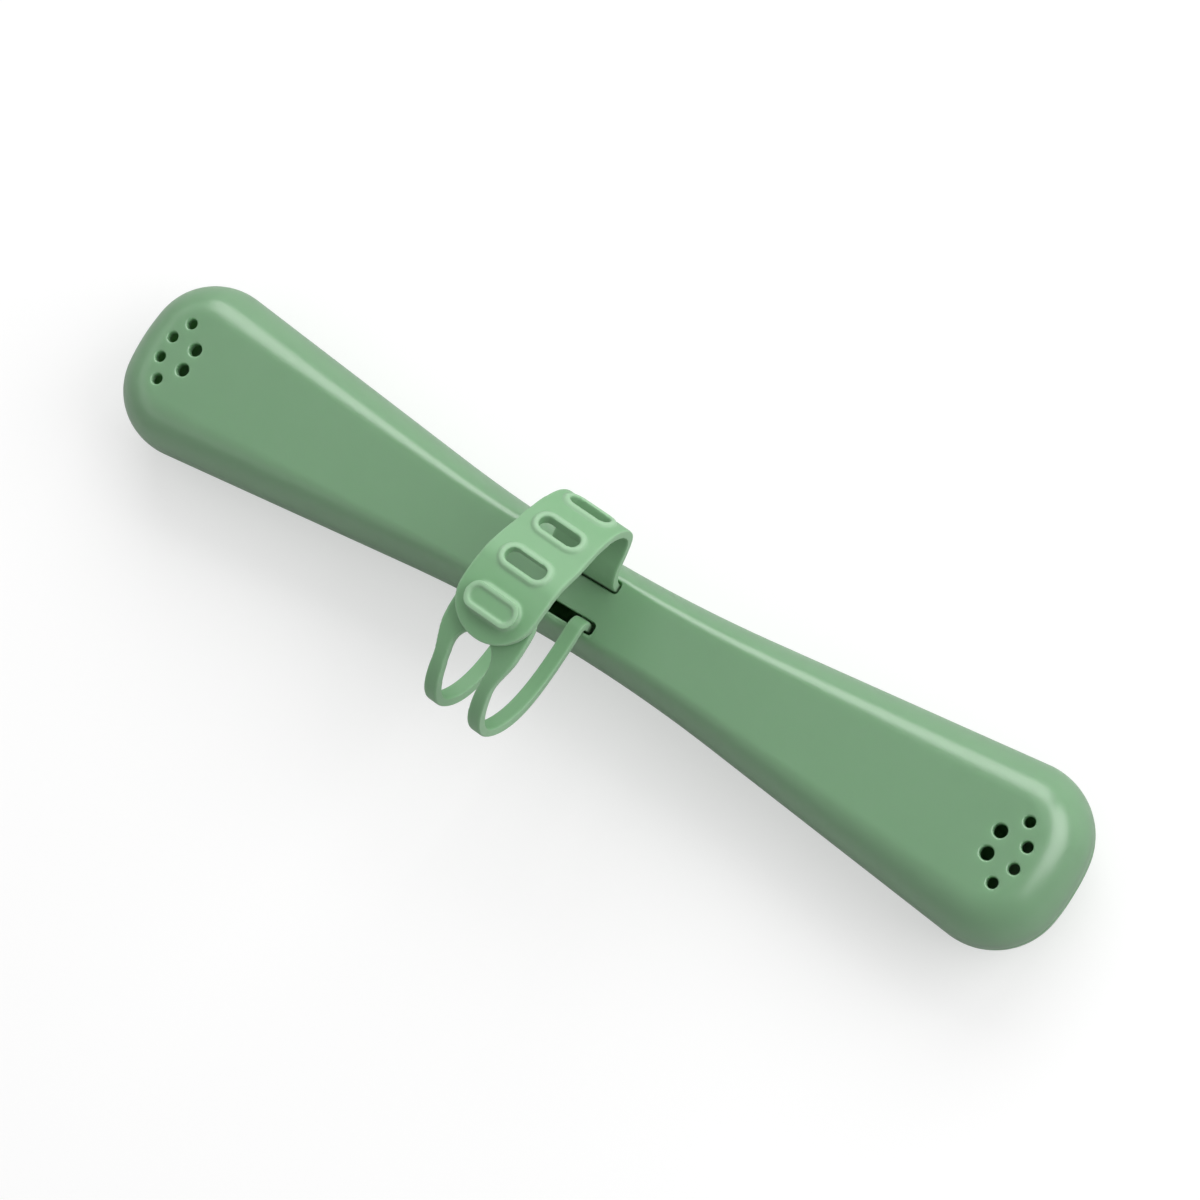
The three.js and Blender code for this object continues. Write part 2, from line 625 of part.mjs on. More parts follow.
const pinEnd = HINGE_END - PIN_RECESS;
const hingePin = piece('hinge_pin', rodAlongY(PIN_RADIUS, -pinEnd, pinEnd), steel);
hingePin.position.set(HINGE_X, 0, BASE_HEIGHT);

const lid = new THREE.Group();
lid.add(
  piece('lid_shell', shapeOf(lidShell()), shellPlastic),
  piece('strap_anchor', shapeOf(strapAnchor()), silicone),
  piece('strap_legs', shapeOf(strapLegs()), silicone),
  piece('strap_band', shapeOf(strapBand()), silicone),
  piece('strap_tip', shapeOf(strapTip()), silicone),
);

const toothbrushCase = new THREE.Group();
toothbrushCase.add(piece('base_shell', shapeOf(baseShell()), shellPlastic), hingePin, lid);

export default toothbrushCase;
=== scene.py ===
"""Looks of a travel toothbrush case with a buckled strap, dressed around its frame.

Shapes are worked out in millimetres and scaled to metres when a piece is finished.
"""
import math

import bmesh
import bpy
import numpy as np
from mathutils import Matrix, Vector


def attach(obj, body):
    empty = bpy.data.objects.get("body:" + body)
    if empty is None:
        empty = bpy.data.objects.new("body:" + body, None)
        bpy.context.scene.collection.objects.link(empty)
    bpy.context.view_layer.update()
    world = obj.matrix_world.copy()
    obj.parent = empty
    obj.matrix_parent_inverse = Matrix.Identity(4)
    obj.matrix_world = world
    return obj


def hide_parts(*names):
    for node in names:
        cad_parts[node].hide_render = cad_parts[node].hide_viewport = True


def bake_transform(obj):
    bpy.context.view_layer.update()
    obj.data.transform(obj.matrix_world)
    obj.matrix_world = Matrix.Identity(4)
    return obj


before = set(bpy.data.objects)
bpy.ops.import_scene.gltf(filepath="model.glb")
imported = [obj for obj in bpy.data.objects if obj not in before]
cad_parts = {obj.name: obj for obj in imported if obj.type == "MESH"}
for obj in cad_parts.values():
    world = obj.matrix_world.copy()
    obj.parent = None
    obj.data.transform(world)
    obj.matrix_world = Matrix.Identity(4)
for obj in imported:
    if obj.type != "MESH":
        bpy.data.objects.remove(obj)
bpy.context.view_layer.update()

MM = 0.001

# Case: an hourglass in plan, flat above and below, with large soft edges
CASE_LENGTH = 219.2
END_WIDTH = 36.4
WAIST_WIDTH = 19.4
BASE_HEIGHT = 11.0
LID_HEIGHT = 11.0
END_RADIUS = 42.0
CORNER_RADIUS = 14.0
WAIST_RADIUS = 330.0
END_EDGE_RUN = 9.0
WAIST_EDGE_RUN = 3.6
WALL = 1.8
CLEARANCE = 0.3
PARTING_ROUND = 0.35

# Lip of the base that centres the lid
LIP_THICKNESS = 0.7
LIP_HEIGHT = 1.6
LIP_ROUND = 0.25
LIP_RAMP = 1.2
LIP_END_GAP = 1.0
LIP_GAP_LENGTH = 14.0
REBATE_CLEARANCE = CLEARANCE * 1.5

# Hinge barrel across the left end
HINGE_SETBACK = 0.4
HINGE_LENGTH = 10.0
KNUCKLE_RADIUS = 1.5
KNUCKLE_ROUND = 0.3
LID_KNUCKLE_LENGTH = 3.4
PIN_RADIUS = 0.5
PIN_RECESS = 0.2
PIN_ROUND = 0.15

# Snap catch and thumb hollow at the right end
CATCH_WIDTH = 9.0
CATCH_THICKNESS = 1.2
CATCH_REACH = 3.4
CATCH_ROOT = 7.0
CATCH_STANDOFF = 1.6
CATCH_BITE = 0.4
CATCH_BEAD_HEIGHT = 1.0
CATCH_BEAD_EDGE = 0.3
LEDGE_TOP_DROP = 0.8
LEDGE_HEIGHT = 1.0
THUMB_DEPTH = 0.8
THUMB_WIDTH = 18.0
THUMB_HEIGHT = 7.0
THUMB_DROP = 1.8
THUMB_BULGE = 3.0
THUMB_POLE_GAP = 0.05

# Brush rests moulded across the base
REST_SPACING = 110.0
REST_THICKNESS = 1.6
REST_HEIGHT = 8.0
REST_EDGE = 0.4
NOTCH_RADIUS = 6.5
NOTCH_FLOOR = 4.0
NOTCH_OPEN_HEIGHT = 8.0

# Air vents, one group in each end of the lid
VENT_CENTRE_SETBACK = 19.5
VENT_OUTER_COUNT = 4
VENT_OUTER_RADIUS = 10.2
VENT_OUTER_STEP = 26.2
VENT_INNER_RADIUS = 4.8
VENT_INNER_ANGLE = 29.4
SMALL_VENT_RADIUS = 1.1
LARGE_VENT_RADIUS = 1.35
VENT_ROUND = 0.45

# Strap route
STRAP_WIDTH = 15.0
STRAP_THICKNESS = 1.8
STRAP_BEND_RADIUS = 1.8
BRIDGE_WIDTH = 6.6
BRIDGE_CLEARANCE = 0.9
STRAP_SLOT_CLEARANCE = 0.4
STRAP_SIDE_CLEARANCE = 0.5
SLOT_CORNER = 0.8
SLOT_ROUND = 0.4
LOOP_WIDTH = 43.4
LOOP_HEIGHT = 22.0
LOOP_WIDEST_RISE = 9.8
LOOP_OFFSET = -9.0
LOOP_TURN = -3.4
RISER_ANGLE = -40.0
RISER_PULL = 0.33
LEG_HINGE_RUN = 2.0

# Strap legs, peg plate and peg
LEG_WIDTH = 3.0
WINDOW_WIDTH = 7.5
WINDOW_TOP_WIDTH = 8.6
WINDOW_START = 1.0
WINDOW_TO_PEG = 5.6
LEG_FLARE_RUN = 9.0
BUCKLE_WIDTH = 17.0
PEG_BEFORE_TOP = 2.7
PLATE_PAST_PEG = 6.0
PEG_HEAD_LENGTH = 11.6
PEG_HEAD_WIDTH = 4.9
PEG_HEAD_HEIGHT = 1.2
PEG_BORDER = 0.9
PEG_RECESS = 0.45

# Slotted band and its rounded tip
EYELET_LENGTH = 9.0
EYELET_WIDTH = 3.0
EYELET_RIM = 1.1
EYELET_RIM_HEIGHT = 0.55
EYELET_PITCH = 9.0
EYELET_COUNT = 5
BAND_HINGE_BACK = 1.5  # pitches back from the end of the row
TIP_PAST_PEG = 6.4
TIP_ROUND = 7.5
TIP_HINGE_TO_PEG = 6.0
LIFT_PAST_PLATE = 0.5
LIFT_RUN = 9.5

# Fineness of the surfaces
END_STEPS = 10
CORNER_STEPS = 26
SIDE_STEPS = 14
WAIST_STEPS = 14
EDGE_STEPS = 18
ROUND_STEPS = 5
ROUND_SIDES = 40
BLOCK_EDGE = 0.2
BLOCK_EDGE_STEPS = 3
ROUTE_STEP = 0.05
WINDOW_STEPS = 60
LEG_STEPS = 120
BAND_STEPS = 60
STRAP_VOXEL = 0.25
STRAP_SOFTENING = 4
# Painted highlight on the strap: how far it spreads, the facing range where edges get it, and the
# rise above raised tops where it starts
EDGE_LIGHT_SPREAD = 4
EDGE_LIGHT_FACING = (0.7, 0.98)
EDGE_LIGHT_RISE = (0.15, 0.4)
SLOT_WALL = 0.2
SHARP_ANGLE = math.radians(38)
OVERCUT = 2.0
SINK = 0.6
SLIVER = 0.02

# Colours, in linear light
SHELL_GREEN = (0.175, 0.345, 0.186)
SHELL_GREEN_PALE = (0.19, 0.362, 0.201)
STRAP_GREEN = (0.19, 0.385, 0.2)
# colour of the painted highlight on the strap's rounded edges and raised tops
STRAP_EDGE_LIGHT_GREEN = (0.3, 0.5, 0.31)
PIN_GREY = (0.5, 0.51, 0.52)
FLOOR_WHITE = (0.55, 0.55, 0.55)

# Surfaces: noise scales per metre, roughness from low to high, bumps as a distance and a strength,
# subsurface light as a weight, a radius for each colour and a scale in metres
CLOUD_DETAIL = 3
GRAIN_DETAIL = 2
SHELL_CLOUD_SCALE = 45
SHELL_CLOUD_BUMP = (0.00006, 0.3)
SHELL_GRAIN_SCALE = 3200
SHELL_GRAIN_BUMP = (0.000003, 0.12)
SHELL_ROUGHNESS = (0.27, 0.31)
SHELL_SPECULAR = 1.0
SHELL_SUBSURFACE = (0.7, (0.85, 1.0, 0.8), 0.006)
STRAP_CLOUD_SCALE = 90
STRAP_CLOUD_LIFT = 1.06
STRAP_GRAIN_SCALE = 2400
STRAP_GRAIN_BUMP = (0.000012, 0.3)
STRAP_ROUGHNESS = (0.46, 0.56)
STRAP_SUBSURFACE = (0.25, (0.8, 1.2, 0.8), 0.0012)
STRAP_SHEEN = 0.08
PIN_LINE_SCALE = 2500
PIN_LINE_STRETCH = (1, 0.03, 1)
PIN_LINE_LIFT = 1.15
PIN_LINE_BUMP = (0.00001, 0.3)
PIN_ROUGHNESS = (0.22, 0.38)

# Floor and light, in metres and watts: two large soft boxes behind the case, and a low strip
# beyond its left end that draws the pale line along that end's shoulder
FLOOR_SIZE = 6.0
FLOOR_ROUGHNESS = 0.9
FLOOR_GLOW = 0.47
WORLD_LIGHT = 0.42
BACKDROP_LIGHT = 1.0
KEY_POWER = 7.9
KEY_SIZE = (1.1, 0.8)
KEY_PLACE = (-0.26, 0.94, 0.7)
SIDE_POWER = 8.4
SIDE_SIZE = (1.1, 0.8)
SIDE_PLACE = (0.8, 0.54, 0.7)
FILL_POWER = 0.95
FILL_SIZE = (1.6, 0.28)
FILL_PLACE = (-0.75, -0.225, 0.59)

# Camera of the photograph: place in millimetres, with its view and its upward direction
CAMERA_PLACE = (225.32, -42.36, 644.31)
CAMERA_VIEW = (-0.33181, 0.06551, -0.94107)
CAMERA_UP = (-0.48432, 0.84424, 0.22953)
CAMERA_LENS = 105.0
CAMERA_SENSOR = 36.0

CASE_HEIGHT = BASE_HEIGHT + LID_HEIGHT
TIP_X = CASE_LENGTH / 2
LID_FLOOR = BASE_HEIGHT + CLEARANCE / 2
BASE_RIM = BASE_HEIGHT - CLEARANCE / 2
HINGE_X = HINGE_SETBACK - TIP_X
HINGE_END = HINGE_LENGTH / 2
LID_KNUCKLE_END = LID_KNUCKLE_LENGTH / 2
BASE_KNUCKLE_START = LID_KNUCKLE_END + CLEARANCE
CATCH_FACE_X = TIP_X - WALL - CATCH_STANDOFF
CATCH_LEDGE_X = CATCH_FACE_X + CLEARANCE
FACE = STRAP_THICKNESS / 2
SLOT_WIDTH = STRAP_THICKNESS + 2 * STRAP_SLOT_CLEARANCE
SLOT_CENTRE = BRIDGE_WIDTH / 2 + SLOT_WIDTH / 2


# Meshes and what is done to them

def smoothstep(value, start, end):
    share = np.clip((value - start) / (end - start), 0, 1)
    return share * share * (3 - 2 * share)


def mesh_object(name, points, faces):
    mesh = bpy.data.meshes.new(name)
    mesh.from_pydata([tuple(map(float, point)) for point in points], [], faces)
    made = bmesh.new()
    made.from_mesh(mesh)
    bmesh.ops.recalc_face_normals(made, faces=made.faces)
    made.to_mesh(mesh)
    made.free()
    piece = bpy.data.objects.new(name, mesh)
    bpy.context.scene.collection.objects.link(piece)
    return piece


def loft(name, rings):
    """A closed skin through rings of equal length, with a flat face at each end."""
    count = len(rings[0])
    faces = []
    for start in range(0, (len(rings) - 1) * count, count):
        for i in range(count):
            j = (i + 1) % count
            faces.append((start + i, start + j, start + count + j, start + count + i))
    last = (len(rings) - 1) * count
    faces.append(tuple(reversed(range(count))))
    faces.append(tuple(range(last, last + count)))
    return mesh_object(name, np.concatenate(rings), faces)


def made_real(piece):
    """Turns what the modifiers make into the piece's own mesh."""
    graph = bpy.context.evaluated_depsgraph_get()
    mesh = bpy.data.meshes.new_from_object(piece.evaluated_get(graph))
    piece.modifiers.clear()
    old = piece.data
    piece.data = mesh
    bpy.data.meshes.remove(old)
    return piece


def combine(piece, tools, operation):
    for tool in tools:
        modifier = piece.modifiers.new(operation, "BOOLEAN")
        modifier.operation = operation
        modifier.solver = "EXACT"
        modifier.object = tool
        made_real(piece)
        bpy.data.objects.remove(tool, do_unlink=True)
    return piece


def finished(piece, material):
    """Scales a piece to metres, shades its large flats flat and gives it its material."""
    piece.data.transform(Matrix.Scale(MM, 4))
    piece.data.shade_smooth()
    piece.data.set_sharp_from_angle(angle=SHARP_ANGLE)
    shading = piece.modifiers.new("shading", "WEIGHTED_NORMAL")
    shading.keep_sharp = True
    made_real(piece)
    piece.data.materials.clear()
    piece.data.materials.append(material)
    return piece


def circle(radius):
    angle = np.arange(ROUND_SIDES) * 2 * math.pi / ROUND_SIDES
    return np.stack([np.cos(angle), np.sin(angle)], axis=1) * radius


def stadium(length, width):
    """Outline of a slot that is long along its second axis."""
    half = np.linspace(0, math.pi, ROUND_SIDES // 2)
    cap = np.stack([np.cos(half), np.sin(half)], axis=1) * width / 2
    reach = np.array([0, (length - width) / 2])
    return np.concatenate([cap + reach, -cap - reach])


def rounded_rectangle(length, width, corner):
    quarter = np.linspace(0, math.pi / 2, ROUND_STEPS + 1)
    arc = np.stack([np.cos(quarter), np.sin(quarter)], axis=1) * corner
    turn = np.array([[0, 1], [-1, 0]])
    points = []
    for sign_x, sign_y in ((1, 1), (-1, 1), (-1, -1), (1, -1)):
        points.append(arc + [sign_x * (length / 2 - corner), sign_y * (width / 2 - corner)])
        arc = arc @ turn
    return np.concatenate(points)


def upright(outline, centre, z):
    return np.column_stack([outline + centre, np.full(len(outline), z)])


def prism(name, outline, centre, z0, z1):
    return loft(name, [upright(outline, centre, z0), upright(outline, centre, z1)])


def block(name, x0, x1, y0, y1, z0, z1, edge=BLOCK_EDGE):
    """A box with rounded edges."""
    corners = np.array([(x, y, z) for x in (x0, x1) for y in (y0, y1) for z in (z0, z1)])
    faces = [(0, 1, 3, 2), (4, 6, 7, 5), (0, 4, 5, 1), (2, 3, 7, 6), (0, 2, 6, 4), (1, 5, 7, 3)]
    piece = mesh_object(name, corners, faces)
    modifier = piece.modifiers.new("edge", "BEVEL")
    modifier.width = edge
    modifier.segments = BLOCK_EDGE_STEPS
    return made_real(piece)


def rod_along_y(name, radius, y0, y1, edge):
    """A round bar across the case on the hinge's axis, with rounded ends."""
    turn = np.linspace(0, math.pi / 2, ROUND_STEPS + 1)
    low = [(radius - edge + edge * math.sin(a), y0 + edge - edge * math.cos(a)) for a in turn]
    high = [(radius - edge + edge * math.cos(a), y1 - edge + edge * math.sin(a)) for a in turn]
    rings = []
    for ring_radius, y in low + high:
        x, z = (circle(ring_radius) + [HINGE_X, BASE_HEIGHT]).T
        rings.append(np.column_stack([x, np.full(len(x), y), z]))
    return loft(name, rings)


def knuckle(y0, y1):
    return rod_along_y("knuckle", KNUCKLE_RADIUS, y0, y1, KNUCKLE_ROUND)


def knuckle_room(y0, y1):
    return rod_along_y("room", KNUCKLE_RADIUS + CLEARANCE, y0, y1, SLIVER)


def pin_hole():
    reach = HINGE_END + OVERCUT
    return rod_along_y("pin_hole", PIN_RADIUS + CLEARANCE / 2, -reach, reach, SLIVER)


# Plan outline of the case: one quadrant from the end round to the waist, then mirrored

def quadrant():
    end_x = TIP_X - END_RADIUS
    corner_y = END_WIDTH / 2 - CORNER_RADIUS
    corner_x = end_x + math.sqrt((END_RADIUS - CORNER_RADIUS) ** 2 - corner_y ** 2)
    waist_y = WAIST_WIDTH / 2 + WAIST_RADIUS
    corner_start = math.atan2(corner_y, corner_x - end_x)
    reach = math.hypot(corner_x, waist_y - corner_y)
    turn = math.acos((CORNER_RADIUS + WAIST_RADIUS) / reach)
    flare = math.atan2(waist_y - corner_y, -corner_x) - turn

    def arc(x, y, radius, start, end, steps):
        angle = np.linspace(start, end, steps, endpoint=False)
        normal = np.stack([np.cos(angle), np.sin(angle)], axis=1)
        return np.array([x, y]) + radius * normal, normal

    end = arc(end_x, 0, END_RADIUS, 0, corner_start, END_STEPS)
    corner = arc(corner_x, corner_y, CORNER_RADIUS, corner_start, flare, CORNER_STEPS)
    waist = arc(0, waist_y, -WAIST_RADIUS, flare, math.pi / 2, WAIST_STEPS)
    flare_normal = np.array([math.cos(flare), math.sin(flare)])
    flare_start = np.array([corner_x, corner_y]) + CORNER_RADIUS * flare_normal
    share = np.linspace(0, 1, SIDE_STEPS, endpoint=False)[:, None]
    side = flare_start + share * (waist[0][0] - flare_start), np.tile(flare_normal, (SIDE_STEPS, 1))
    middle = np.array([[0, WAIST_WIDTH / 2]]), np.array([[0.0, 1.0]])
    runs = (end, corner, side, waist, middle)
    place = np.concatenate([run[0] for run in runs])
    normal = np.concatenate([run[1] for run in runs])
    towards_end = np.minimum(1, place[:, 0] / corner_x)
    edge_run = WAIST_EDGE_RUN + (END_EDGE_RUN - WAIST_EDGE_RUN) * towards_end
    return np.column_stack([place, normal, edge_run])


def whole_outline():
    first = quadrant()
    back = first[:-1][::-1]

    def mirrored(rows, x, y):
        return rows * np.array([x, y, x, y, 1])

    return np.concatenate([
        first,
        mirrored(back, -1, 1),
        mirrored(first[1:], -1, -1),
        mirrored(back[:-1], 1, -1),
    ])


OUTLINE = whole_outline()
PLAN = OUTLINE[:, :2]
PLAN_NORMAL = OUTLINE[:, 2:4]
EDGE_RUN = OUTLINE[:, 4]


def plan_ring(run, z):
    """The outline moved inwards by run, at height z."""
    place = PLAN - PLAN_NORMAL * np.broadcast_to(run, len(PLAN))[:, None]
    return np.column_stack([place, np.broadcast_to(z, len(PLAN))])


def rings_up(z, steps):
    """Rings at steps inwards and upwards from height z."""
    return [plan_ring(run, z + up) for run, up in steps]


def rings_down(z, steps):
    return [plan_ring(run, z - up) for run, up in steps]


def dome_rings(inset, height, start_height):
    """Steps from start_height up to the flat, inwards and upwards from the rim."""
    first = math.asin(start_height / height)
    for angle in np.linspace(first, math.pi / 2, EDGE_STEPS + 1):
        yield inset + (EDGE_RUN - inset) * (1 - math.cos(angle)), height * math.sin(angle)


def rounded_rim(inset, edge):
    """Steps round an outer edge, from the rim's flat to the wall, inwards and upwards."""
    for angle in np.linspace(0, math.pi / 2, ROUND_STEPS, endpoint=False):
        yield inset + edge * (1 - math.sin(angle)), edge * (1 - math.cos(angle))


def away_from_hinge(gap):
    """0 at the hinge and 1 along the rest of the rim, changing from a gap beside the barrel on."""
    past = smoothstep(PLAN[:, 0], HINGE_X + LIP_GAP_LENGTH - LIP_RAMP, HINGE_X + LIP_GAP_LENGTH)
    beside = smoothstep(np.abs(PLAN[:, 1]), HINGE_END + gap, HINGE_END + gap + LIP_RAMP)
    return np.maximum(past, beside)


# Base

def base_tray():
    height = BASE_RIM
    outside = rings_down(BASE_RIM, dome_rings(0, height, PARTING_ROUND))
    rim = rings_down(BASE_RIM, rounded_rim(0, PARTING_ROUND))
    lip = (LIP_HEIGHT + CLEARANCE / 2) * away_from_hinge(LIP_END_GAP)
    lip_inset = WALL - LIP_THICKNESS
    lip_rings = [plan_ring(lip_inset, BASE_RIM)]
    for run, up in reversed(list(rounded_rim(lip_inset, LIP_ROUND))):
        lip_rings.append(plan_ring(run, BASE_RIM + np.maximum(lip - up, 0)))
    for run, up in rounded_rim(-WALL, LIP_ROUND):
        lip_rings.append(plan_ring(-run, BASE_RIM + np.maximum(lip - up, 0)))
    inside = rings_down(BASE_RIM, dome_rings(WALL, height - WALL, SLIVER))
    return loft("case_base", outside[::-1] + rim[::-1] + lip_rings + inside)


def brush_rest(x):
    half = REST_THICKNESS / 2
    inner = END_WIDTH / 2
    rib = block("rest", x - half, x + half, -inner, inner, WALL / 2, REST_HEIGHT, REST_EDGE)
    bowl = circle(NOTCH_RADIUS)[:ROUND_SIDES // 2] * [1, -1]
    mouth = [[side * NOTCH_RADIUS, NOTCH_OPEN_HEIGHT] for side in (-1, 1)]
    notch = np.concatenate([bowl, mouth]) + [0, NOTCH_FLOOR + NOTCH_RADIUS]
    rings = []
    for x_end in (x - half - OVERCUT, x + half + OVERCUT):
        rings.append(np.column_stack([np.full(len(notch), x_end), notch]))
    combine(rib, [loft("notch", rings)], "DIFFERENCE")
    inside = rings_down(BASE_RIM, dome_rings(WALL / 2, BASE_RIM - WALL / 2, SLIVER))
    return combine(rib, [loft("inside", inside)], "INTERSECT")


def thumb_hollow():
    pole = math.pi / 2 - THUMB_POLE_GAP
    rings = []
    for angle in np.linspace(-pole, pole, ROUND_SIDES // 2):
        ring = circle(math.cos(angle))
        rings.append(np.column_stack([
            TIP_X - THUMB_DEPTH + THUMB_BULGE + THUMB_BULGE * ring[:, 0],
            ring[:, 1] * THUMB_WIDTH / 2,
            np.full(len(ring), BASE_RIM - THUMB_DROP + THUMB_HEIGHT / 2 * math.sin(angle)),
        ]))
    return loft("hollow", rings)


def build_base(material):
    base = base_tray()
    half = CATCH_WIDTH / 2
    top = BASE_RIM - LEDGE_TOP_DROP
    ledge = block("ledge", CATCH_LEDGE_X, TIP_X - WALL / 2, -half, half, top - LEDGE_HEIGHT, top)
    rests = [brush_rest(-REST_SPACING / 2), brush_rest(REST_SPACING / 2)]
    combine(base, [ledge, *rests], "UNION")
    room = knuckle_room(-BASE_KNUCKLE_START, BASE_KNUCKLE_START)
    combine(base, [room, thumb_hollow()], "DIFFERENCE")
    knuckles = [knuckle(-HINGE_END, -BASE_KNUCKLE_START), knuckle(BASE_KNUCKLE_START, HINGE_END)]
    combine(base, knuckles, "UNION")
    combine(base, [pin_hole()], "DIFFERENCE")
    finished(base, material)
    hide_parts("base_shell")
    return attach(base, "base")


def build_pin(material):
    end = HINGE_END - PIN_RECESS
    pin = rod_along_y("hinge_pin_turned", PIN_RADIUS, -end, end, PIN_ROUND)
    finished(pin, material)
    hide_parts("hinge_pin")
    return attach(pin, "base")


# Lid

def lid_cover():
    height = LID_HEIGHT - CLEARANCE / 2
    rebate_top = LIP_HEIGHT + REBATE_CLEARANCE
    rebate_inset = WALL - (LIP_THICKNESS + CLEARANCE) * away_from_hinge(LIP_END_GAP - LIP_RAMP)
    inside = rings_up(LID_FLOOR, dome_rings(WALL, height - WALL, rebate_top))
    rebate = [plan_ring(rebate_inset, LID_FLOOR + rebate_top), plan_ring(rebate_inset, LID_FLOOR)]
    rim = rings_up(LID_FLOOR, rounded_rim(0, PARTING_ROUND))
    outside = rings_up(LID_FLOOR, dome_rings(0, height, PARTING_ROUND))
    return loft("case_lid", inside[::-1] + rebate + rim + outside)


def flared_hole(name, outline_of, centre, edge):
    """A cutter through the lid's top whose upper edge opens in a round.

    outline_of gives the hole's outline, grown by a distance.
    """
    rings = [upright(outline_of(0), centre, CASE_HEIGHT - WALL - OVERCUT)]
    for angle in np.linspace(0, math.pi / 2, ROUND_STEPS + 1):
        z = CASE_HEIGHT + SLIVER - edge * (1 - math.sin(angle))
        rings.append(upright(outline_of(edge * (1 - math.cos(angle))), centre, z))
    rings.append(upright(outline_of(edge), centre, CASE_HEIGHT + OVERCUT))
    return loft(name, rings)


def vent_holes():
    steps = np.arange(VENT_OUTER_COUNT) - (VENT_OUTER_COUNT - 1) / 2
    vents = [(VENT_OUTER_RADIUS, step * VENT_OUTER_STEP, SMALL_VENT_RADIUS) for step in steps]
    vents += [(VENT_INNER_RADIUS, side * VENT_INNER_ANGLE, LARGE_VENT_RADIUS) for side in (-1, 1)]
    for end in (-1, 1):
        for radius, degrees, size in vents:
            angle = math.radians(degrees)
            x = end * (TIP_X - VENT_CENTRE_SETBACK + radius * math.cos(angle))
            centre = (x, radius * math.sin(angle))

            def outline(grown, size=size):
                return circle(size + grown)

            yield flared_hole("vent", outline, centre, VENT_ROUND)


def strap_slots():
    length = STRAP_WIDTH + 2 * STRAP_SIDE_CLEARANCE

    def outline(grown):
        return rounded_rectangle(length + 2 * grown, SLOT_WIDTH + 2 * grown, SLOT_CORNER + grown)

    for side in (-1, 1):
        yield flared_hole("slot", outline, (0, side * SLOT_CENTRE), SLOT_ROUND)


def catch_tongue():
    half = CATCH_WIDTH / 2
    back = CATCH_FACE_X - CATCH_THICKNESS
    foot = BASE_HEIGHT - CATCH_REACH
    root = BASE_HEIGHT + CATCH_ROOT
    tongue = block("tongue", back, CATCH_FACE_X, -half, half, foot, root)
    bead_top = BASE_RIM - LEDGE_TOP_DROP - LEDGE_HEIGHT - CLEARANCE
    bead_foot = bead_top - CATCH_BEAD_HEIGHT
    bead_back = CATCH_FACE_X - SINK
    bead_face = CATCH_LEDGE_X + CATCH_BITE
    bead = block(
        "bead", bead_back, bead_face, -half, half, bead_foot, bead_top, CATCH_BEAD_EDGE
    )
    return combine(tongue, [bead], "UNION")


def build_lid(material):
    lid = lid_cover()
    reach = HINGE_END + CLEARANCE
    rooms = [knuckle_room(-reach, -LID_KNUCKLE_END), knuckle_room(LID_KNUCKLE_END, reach)]
    combine(lid, [*rooms, *vent_holes(), *strap_slots()], "DIFFERENCE")
    middle_knuckle = knuckle(-LID_KNUCKLE_END, LID_KNUCKLE_END)
    combine(lid, [middle_knuckle, catch_tongue()], "UNION")
    combine(lid, [pin_hole()], "DIFFERENCE")
    finished(lid, material)
    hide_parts("lid_shell")
    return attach(lid, "lid")


# Route of the strap in the plane across the case, as points a set step apart

UNDERPASS_Z = CASE_HEIGHT - WALL - BRIDGE_CLEARANCE - FACE
UNDERPASS_END = SLOT_CENTRE - STRAP_BEND_RADIUS
LOOP_A = (LOOP_WIDTH + STRAP_THICKNESS) / 2
LOOP_CROWN_RISE = LOOP_HEIGHT + STRAP_THICKNESS - LOOP_WIDEST_RISE
LOOP_FLOOR = CASE_HEIGHT + STRAP_BEND_RADIUS
LOOP_Z = LOOP_FLOOR + LOOP_WIDEST_RISE


def straight(start, end):
    count = max(2, math.ceil(math.dist(start, end) / ROUTE_STEP))
    return np.linspace(start, end, count, endpoint=False)


def sweep(x, z, a, b, start, end):
    """An elliptic arc from one angle to another, in degrees."""
    count = math.ceil(abs(math.radians(end - start)) * max(a, b) / ROUTE_STEP)
    angle = np.radians(np.linspace(start, end, count, endpoint=False))
    return np.column_stack([x + a * np.cos(angle), z + b * np.sin(angle)])


def riser_curve(top, heading, foot):
    pull = math.dist(top, foot) * RISER_PULL
    points = [top, top + heading * pull, foot + [0, pull], foot]
    t = np.linspace(0, 1, math.ceil(math.dist(top, foot) / ROUTE_STEP), endpoint=False)[:, None]
    return sum(math.comb(3, i) * (1 - t) ** (3 - i) * t ** i * points[i] for i in range(4))


def length_of(points):
    return np.linalg.norm(np.diff(points, axis=0), axis=1).sum()


